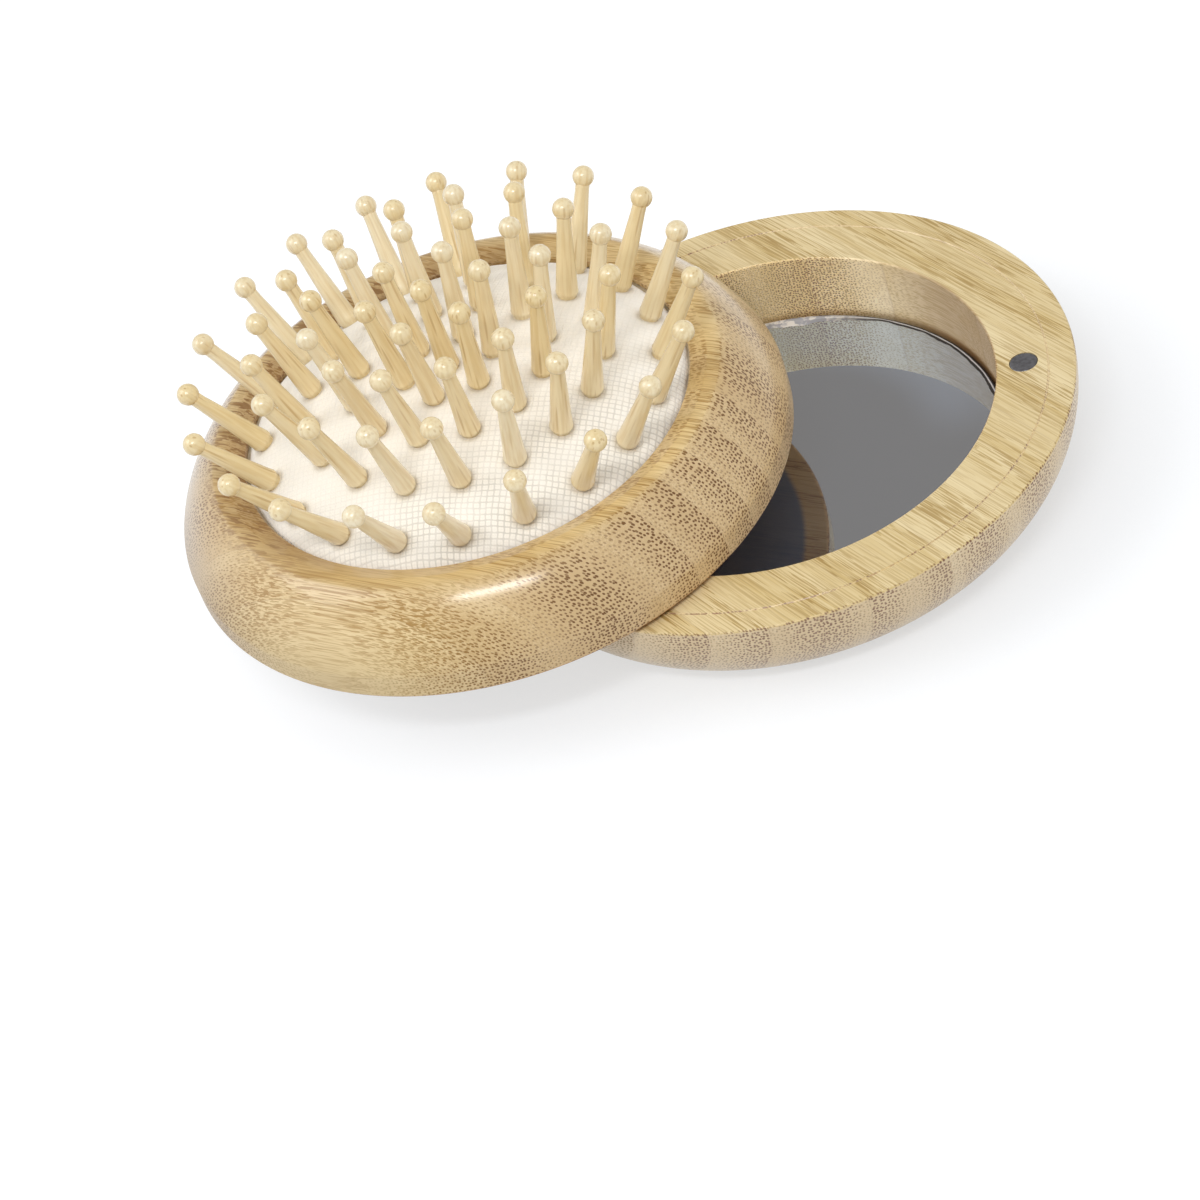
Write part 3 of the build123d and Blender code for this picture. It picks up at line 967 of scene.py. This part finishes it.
def cloth_finish():
    """Undyed coarse cotton: off-white threads, in pairs, with a faint sheen.

    The gaps between them are grey-beige painted shade, in patches, towards the rim and heaviest
    on one side, and painted shade darkens the cloth round the foot of each pin.
    """
    material, tree, shader = new_material("cushion_cloth_finish")
    uv = node(tree, "UVMap", uv_map="flat_cloth").outputs[0]
    mm = 1 / uv_per_mm
    values = {"Vector": uv, "Rotation": (0, 0, np.radians(weave_turn)), "Scale": (mm, mm, 1.0)}
    place = node(tree, "Mapping", values).outputs[0]
    single = place_group(weave, {"Place": place, "Pitch": thread_pitch})
    pairs = place_group(weave, {"Place": place, "Pitch": 2 * thread_pitch})
    threads = mix(single["Mottle"], thread_pale, thread_deep)
    # painted shade in the gaps between threads, in patches, towards the rim and heaviest on one side
    gaps = scaled(single["Gap"], 0.15, times(pairs["Gap"], 0.68))
    gap_shade_side = step(vector("DOT_PRODUCT", place, gap_shade_heading), 5.0, 23.0)
    patches = step(single["Mottle"], 0.35, 0.6, 0.25, 0.55)
    gap_shade_patches = scaled(step(vector("LENGTH", place), 23.0, 31.0), 0.12, patches)
    gap_shade = times(gaps, scaled(gap_shade_side, gap_shade_patches, 0.08))
    lined = mix(gap_shade, threads, gap_shade_colour)
    # painted shade round the foot of each pin
    pin_foot_shade = times(node(tree, "Attribute", attribute_name="pin_foot_shade").outputs["Fac"], 0.45)
    feed(shader, {
        "Base Color": mix(pin_foot_shade, lined, pin_foot_shade_colour),
        "Roughness": 0.85,
        "Sheen Weight": 0.15,
        "Normal": bump(plus(single["Height"], pairs["Height"]), 0.35, 0.0001),
    })
    return material


cloth = make_cover()
finish_with(cloth, cloth_finish())
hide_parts("cushion_cover")
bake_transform(cloth)

# the membrane's outline: out under the dome, round the bead at its edge and back over the dome
bead_radius = groove_radius - bead_play
bead_top = groove_top - bead_play
bead_bottom = groove_floor + bead_play
hollow_radius = chamber_radius - bead_play
neck_radius = cover_radius - under_cloth
stations = np.linspace(0, 1, 24)
outer_line = [
    (neck_radius * s, float(dome(neck_radius * s)) - under_cloth - (cloth_clearance if s < 1 else 0))
    for s in stations
]
inner_line = [
    (hollow_radius * s, float(dome(hollow_radius * s)) - under_cloth - membrane_thickness)
    for s in stations
]
bead = [
    (hollow_radius, bead_bottom),
    (bead_radius, bead_bottom),
    (bead_radius, bead_top),
    (neck_radius, bead_top),
]
rubber = turned("cushion_rubber", np.array([*inner_line, *bead, *outer_line[::-1]]), brush_at, sides=180)
finish_with(rubber, plain_finish("rubber_finish", rubber_colour, 0.7))
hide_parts("cushion_membrane")
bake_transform(rubber)

# ---------------------------------------- pins
# Turned bamboo pins with ball tips, pushed up through the membrane and the cloth. Each is its own
# turning from its own splinter, so lean, bearing and tone differ a little from pin to pin.
pin_length = 13.0
pin_base_radius = 1.6
pin_neck_radius = 0.97
pin_ball_radius = 1.5
pin_root = 3.2
pin_root_step = 0.4
pin_foot_height = 0.9
pin_taper_end = 11.0
pin_sides = 20
lean_spread = 0.9
sway_spread = 1.6
cream_colour = (0.87, 0.80, 0.625, 1)
straw_colour = (0.82, 0.69, 0.415, 1)
pin_fibre_colour = (0.62, 0.44, 0.18, 1)
pin_streak_colour = (0.45, 0.27, 0.09, 1)
pin_coat_tint = (0.985, 0.955, 0.88, 1)


def pin_outline():
    """(radius, height) of one pin from root to tip.

    The shaft narrows from base to neck with the 0.9th power of its height, and swells from a
    slimmer root in a quarter round at its foot. A short neck and a ball stand on it.
    """
    height = np.array([-pin_root, -1.0, pin_foot_height, 2.0, 4.5, 7.0, 9.5, 10.8])
    share = np.clip(height / pin_taper_end, 0, 1)
    shaft = pin_base_radius + (pin_neck_radius - pin_base_radius) * share ** 0.9
    foot = np.radians(np.array([15, 45, 75]))
    swell = pin_foot_height - pin_foot_height * np.cos(foot)
    swollen = shaft[1] - pin_root_step + pin_root_step * np.sin(foot)
    height = np.concatenate([height[:2], swell, height[2:]])
    shaft = np.concatenate([shaft[:2] - pin_root_step, swollen, shaft[2:]])
    low = -np.arccos(pin_neck_radius / pin_ball_radius)
    tilt = np.concatenate([[low], np.linspace(low + 0.12, np.pi / 2, 11)])
    ball_r = pin_ball_radius * np.cos(tilt)
    ball_h = pin_length + pin_ball_radius * np.sin(tilt)
    neck_r = np.full(2, pin_neck_radius + 0.01)
    neck_h = np.array([11.4, ball_h[0] - 0.06])
    radius = np.concatenate([[0], shaft, neck_r, ball_r[:-1], [0]])
    height = np.concatenate([[-pin_root], height, neck_h, ball_h])
    return np.stack([radius, height], axis=-1)


def make_pins(name, count, out, lean, first, seed):
    """A ring of pins in one mesh, each with a little lean and sway of its own.

    Pin point = seat + turn(bearing) sway(aside) tip(leaning) (r cos a, r sin a, h).
    """
    rng = np.random.default_rng(seed)
    outline = pin_outline()
    ring = outline[1:-1]
    bearing = ring_angles(count, first)
    leaning = np.radians(lean + rng.normal(0, lean_spread, count))
    aside = np.radians(rng.normal(0, sway_spread, count))
    a = np.linspace(0, 2 * np.pi, pin_sides, endpoint=False)
    r, h = ring[:, None, 0], np.repeat(ring[:, 1:], pin_sides, axis=1)
    local = np.stack([r * np.cos(a), r * np.sin(a), h], axis=-1).reshape(-1, 3)
    local = np.concatenate([local, [[0, 0, outline[0, 1]], [0, 0, outline[-1, 1]]]])
    zero, one = np.zeros(count), np.ones(count)
    c, s = np.cos(leaning), np.sin(leaning)
    tip = np.array([[c, zero, s], [zero, one, zero], [-s, zero, c]])
    c, s = np.cos(aside), np.sin(aside)
    sway = np.array([[one, zero, zero], [zero, c, -s], [zero, s, c]])
    c, s = np.cos(bearing), np.sin(bearing)
    turn = np.array([[c, -s, zero], [s, c, zero], [zero, zero, one]])
    spin = np.einsum("ijp,jkp,klp->pil", turn, sway, tip)
    seats = np.stack([out * c, out * s, np.full(count, dome(out))], axis=-1) + brush_at
    points = (np.einsum("pij,vj->pvi", spin, local) + seats[:, None]).reshape(-1, 3)
    skin = closed_skin(len(ring), pin_sides)
    blocks = [block + number * len(local) for number in range(count) for block in skin]
    label = name.replace("row", "ring") if "row" in name else "pin_middle"
    piece = mesh_piece(label, points * 0.001, blocks, sharp=45.0)
    splinter = rng.uniform(-400, 400, (count, 1, 3))
    point_values(piece, "grain", "FLOAT_VECTOR", local[None] + splinter)
    point_values(piece, "tone", "FLOAT", np.repeat(rng.uniform(0, 1, count), len(local)))
    finish_with(piece, pin_bamboo)
    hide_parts(name)
    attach(piece, "cushion")


def pin_finish():
    """Polished bare bamboo: cream to straw from pin to pin, fine streaks along, pores on the balls."""
    material, tree, shader = new_material("pin_bamboo_finish")
    grain = node(tree, "Attribute", attribute_name="grain").outputs["Vector"]
    tone = node(tree, "Attribute", attribute_name="tone").outputs["Fac"]
    fibre = noise(grain, (2.2, 2.2, 0.07), 3.0)
    values = {"Vector": vector("MULTIPLY", grain, (1.0, 1.0, 0.03)), "Scale": 1.5, "Randomness": 0.9}
    to_rod = node(tree, "TexVoronoi", values).outputs["Distance"]
    rod = times(step(to_rod, 0.14, 0.30, 1.0, 0.0), scaled(tone, 0.45, 0.16))
    ground = mix(tone, cream_colour, straw_colour)
    ground = mix(step(fibre, 0.38, 0.66, 0.0, 0.36), ground, pin_fibre_colour)
    feed(shader, {
        "Base Color": mix(rod, ground, pin_streak_colour),
        "Roughness": scaled(fibre, 0.15, 0.36),
        "Normal": bump(fibre, 0.2, 0.00006),
        "Coat Weight": 1.0,
        "Coat IOR": 1.65,
        "Coat Roughness": 0.24,
        "Coat Tint": pin_coat_tint,
    })
    return material


pin_bamboo = pin_finish()
for seed, (name, (count, out, lean, first)) in enumerate(pin_rings.items()):
    make_pins(name, count, out, lean, first, seed)

# ---------------------------------------- studio
# A white floor, a sky that is brightest on the right, a narrow lamp in front for the long glint on
# the shoulder, a key lamp on the left with a soft fill, and the camera.
floor_size = 3.0
floor_lit = (0.8, 0.8, 0.8, 1)
floor_seen = (0.29, 0.305, 0.325, 1)
shadow_heading = (-0.95, 0.15, 0.25)
shadow_reach = 0.03
sky_low = (0.6, 0.58, 0.55, 1)
sky_high = (0.322, 0.26, 0.195, 1)
sky_window = (1.4, 1.4, 1.45, 1)
sky_bounced = (1.8, 1.6, 1.4, 1)
lamp_aim = (-0.02, 0, 0.02)
floor_points = np.array([(-1, -1, 0), (1, -1, 0), (1, 1, 0), (-1, 1, 0)]) * floor_size
floor = mesh_piece("studio_floor", floor_points, [np.array([(0, 1, 2, 3)])])


def floor_finish():
    """White paper: it takes light as it is, and glows up to white for the camera and reflections.

    The glow is weaker where the object stands close by on the lamp's side, which leaves a soft
    shadow: it is 0.5, plus 0.28 times the share of open air that way to the power 1.5.
    """
    material, tree, shader = new_material("studio_white")
    ray = node(tree, "LightPath").outputs
    mirrored = calc("MAXIMUM", ray["Is Glossy Ray"], ray["Is Transmission Ray"])
    seen = calc("MAXIMUM", ray["Is Camera Ray"], mirrored)
    lamp_side = node(tree, "CombineXYZ", dict(enumerate(shadow_heading))).outputs[0]
    near = node(tree, "AmbientOcclusion", {"Distance": shadow_reach, "Normal": lamp_side}, samples=12)
    open_share = calc("POWER", near.outputs["AO"], 1.5)
    feed(shader, {
        "Base Color": mix(seen, floor_lit, floor_seen),
        "Roughness": 0.9,
        "Specular IOR Level": 0.0,
        "Emission Color": (1, 1, 1, 1),
        "Emission Strength": times(seen, scaled(open_share, 0.28, 0.50)),
    })
    return material


finish_with(floor, floor_finish())

world = bpy.data.worlds.new("studio_sky")
bpy.context.scene.world = world
world.use_nodes = True
sky = world.node_tree
heading = node(sky, "TexCoord").outputs["Generated"]


def glow(towards_it, strength, low=0.0):
    """How bright the sky is towards a direction: full at the direction itself, and fading to
    nothing where the cosine of the angle from it falls to low."""
    along = vector("DOT_PRODUCT", heading, Vector(towards_it).normalized())
    return step(along, low, 1.0, 0.0, strength)


# diffuse light comes from the open sky, reflections show a ceiling with a window, the camera white
sides = [glow((1, 0, 0.35), 0.92), glow((0, 1, 0.35), 0.39), glow((-1, 0, 0.35), 0.26)]
open_sky = plus(*sides, glow((0, -1, 0.35), 0.09), glow((0, 0, 1), 0.17))
ceiling = mix(step(parts("XYZ", heading)[2], 0.10, 0.55), sky_low, sky_high)
ceiling = mix(glow((-0.95, 0.1, 0.3), 1.0, 0.5), ceiling, sky_window)
rays = node(sky, "LightPath").outputs
ceiling = mix(above(rays["Diffuse Depth"], 0.5), ceiling, sky_bounced)
lit = mix(rays["Is Glossy Ray"], open_sky, ceiling)
shown = mix(rays["Is Camera Ray"], lit, (1, 1, 1, 1))
feed(sky.nodes["Background"], {"Color": shown})


def soft_lamp(name, place, size, power):
    """A rectangular lamp at a place in metres, turned to face the object."""
    data = bpy.data.lights.new(name, "AREA")
    data.shape = "RECTANGLE"
    data.size, data.size_y = size
    data.energy = power
    lamp = bpy.data.objects.new(name, data)
    lamp.location = place
    lamp.rotation_euler = (Vector(lamp_aim) - Vector(place)).to_track_quat("-Z", "Y").to_euler()
    bpy.context.scene.collection.objects.link(lamp)
    return lamp


soft_lamp("front_lamp", (-0.07, -0.42, 0.62), (0.30, 0.07), 1.8)
soft_lamp("key_lamp", (-0.62, -0.05, 0.62), (0.35, 0.35), 1.4)
fill = soft_lamp("fill_lamp", (-0.25, -0.45, 0.75), (0.35, 0.35), 0.5)
fill.visible_glossy = False

camera_place = Vector((0.0392, -0.3716, 0.3167))
camera_aim = Vector((-0.0243, -0.0301, 0.0136))
camera_roll = 20.11
camera_lens = 106.9
data = bpy.data.cameras.new("camera")
data.sensor_width = 36.0
data.lens = camera_lens
data.clip_start = 0.01
camera = bpy.data.objects.new("camera", data)
camera.rotation_mode = "QUATERNION"
camera.location = camera_place
upright = (camera_aim - camera_place).to_track_quat("-Z", "Y")
camera.rotation_quaternion = upright @ Matrix.Rotation(np.radians(-camera_roll), 3, "Z").to_quaternion()
bpy.context.scene.collection.objects.link(camera)
bpy.context.scene.camera = camera
bpy.context.scene.view_settings.view_transform = "Standard"
